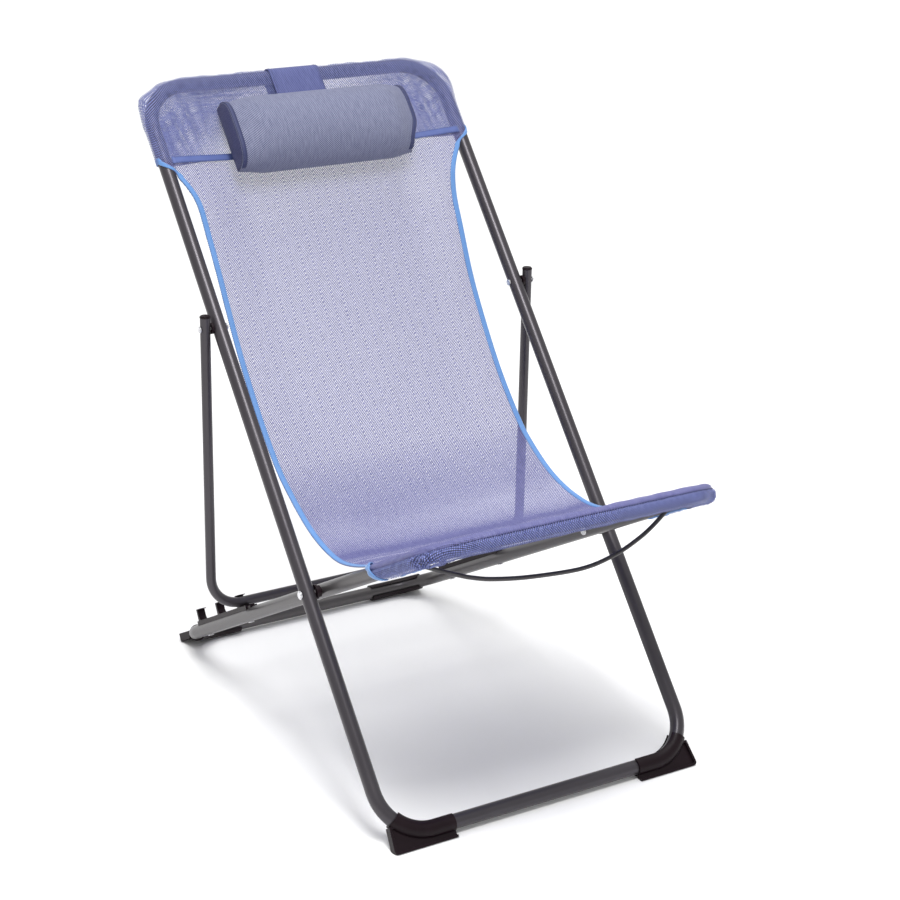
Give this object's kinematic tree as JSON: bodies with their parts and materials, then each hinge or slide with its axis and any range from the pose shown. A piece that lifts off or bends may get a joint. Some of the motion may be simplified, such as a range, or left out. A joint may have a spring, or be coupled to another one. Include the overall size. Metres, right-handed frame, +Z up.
{
  "type": "folding beach chair",
  "caption": "Folding beach chair: tubular back frame, pivoted seat frame, prop resting in hooked racks, mesh sling hung between the end rails, head pillow strapped over the top.",
  "frame": {"origin": "middle of the chair's footprint, on the floor", "axes": "+Z up, -Y towards the front of the seat, +X towards the sitter's left"},
  "size_m": [0.5934, 0.8785, 0.9556],
  "materials": {
    "frame_dark": "satin powder coat",
    "frame_grey": "satin powder coat",
    "bare_steel": "plain",
    "rivet_steel": "bright",
    "black_plastic": "fine grain",
    "sling_mesh": "coated woven mesh",
    "pocket_mesh": "doubled woven mesh",
    "pillow_mesh": "woven mesh",
    "foam": "open foam",
    "cord": "smooth"
  },
  "bodies": {
    "back_frame": {"back_lower_tube": "frame_dark", "back_upper_tube": "frame_dark", "back_tube_joiners": "bare_steel", "back_foot_left": "black_plastic", "back_foot_right": "black_plastic", "seat_pivot_rivets": "rivet_steel", "seat_pivot_bushes": "black_plastic", "prop_pivot_rivets": "rivet_steel", "prop_pivot_bushes": "black_plastic", "sling_back": "sling_mesh", "head_pocket": "pocket_mesh", "strap_tail": "pocket_mesh"},
    "seat_frame": {"seat_rear_tube": "frame_grey", "seat_front_tube": "frame_grey", "seat_tube_joiners": "bare_steel", "rack_left": "black_plastic", "rack_right": "black_plastic", "rack_rivets": "rivet_steel", "seat_foot_left": "black_plastic", "seat_foot_right": "black_plastic", "sling_seat": "sling_mesh", "front_pocket": "pocket_mesh", "stay_cord": "cord", "cord_plugs": "black_plastic"},
    "prop_frame": {"prop_tube": "frame_dark", "prop_caps": "black_plastic"},
    "head_pillow": {"pillow_cover": "pillow_mesh", "pillow_foam": "foam", "pillow_strap": "pocket_mesh"}
  },
  "joints": [
    {"name": "seat_fold", "type": "hinge", "parent": "back_frame", "child": "seat_frame", "pos_m": [0, -0.11129, 0.29991], "axis": [-1, 0, 0], "range_deg": [0, 96]},
    {"name": "prop_fold", "type": "hinge", "parent": "back_frame", "child": "prop_frame", "pos_m": [0, 0.16408, 0.62808], "axis": [-1, 0, 0], "range_deg": [0, 37.5]},
    {"name": "pillow_lift", "type": "hinge", "parent": "back_frame", "child": "head_pillow", "pos_m": [0, 0.42647, 0.94078], "axis": [-1, 0, 0], "range_deg": [0, 100]}
  ],
  "couplings": [
    {"joint": "prop_fold", "follows": "seat_fold", "ratio": 0.39}
  ]
}
